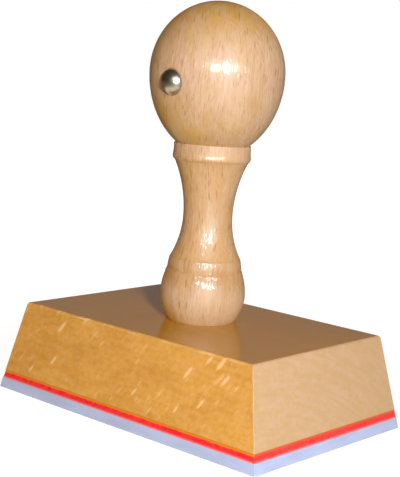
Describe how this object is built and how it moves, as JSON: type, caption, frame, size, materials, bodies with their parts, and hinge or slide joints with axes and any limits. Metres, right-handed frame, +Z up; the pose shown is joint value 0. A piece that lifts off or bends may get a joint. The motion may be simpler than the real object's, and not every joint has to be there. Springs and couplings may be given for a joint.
{
  "type": "hand stamp",
  "caption": "Wooden hand stamp: turned knob handle with a domed front marker on a tapered block, and a foam-backed rubber die that gives when pressed.",
  "frame": {"origin": "middle of the printing face, on the surface that the stamp stands on", "axes": "+Z up through the handle, +X along the block, -Y to the front that the domed marker shows"},
  "size_m": [0.09, 0.06, 0.1071],
  "materials": {
    "handle_beech": "clear gloss lacquer",
    "nickel": "polished nickel plate",
    "nail_steel": "drawn",
    "zinc_steel": "zinc plated",
    "block_beech": "amber gloss lacquer, ends bare",
    "adhesive_film": "tacky film",
    "red_foam": "sponge, fine open cells at the cut edge",
    "die_rubber": "smooth, engraved"
  },
  "bodies": {
    "stamp": {"handle": "handle_beech", "marker_cap": "nickel", "marker_nail": "nail_steel", "handle_screw": "zinc_steel", "mount_block": "block_beech", "upper_film": "adhesive_film", "foam_layer": "red_foam"},
    "die": {"lower_film": "adhesive_film", "die_plate": "die_rubber"}
  },
  "joints": [
    {"name": "die_press", "type": "slide", "parent": "stamp", "child": "die", "axis": [0, 0, 1], "range_m": [0, 0.0006], "stiffness_N_per_m": 100000, "deforming": ["foam_layer"]}
  ]
}
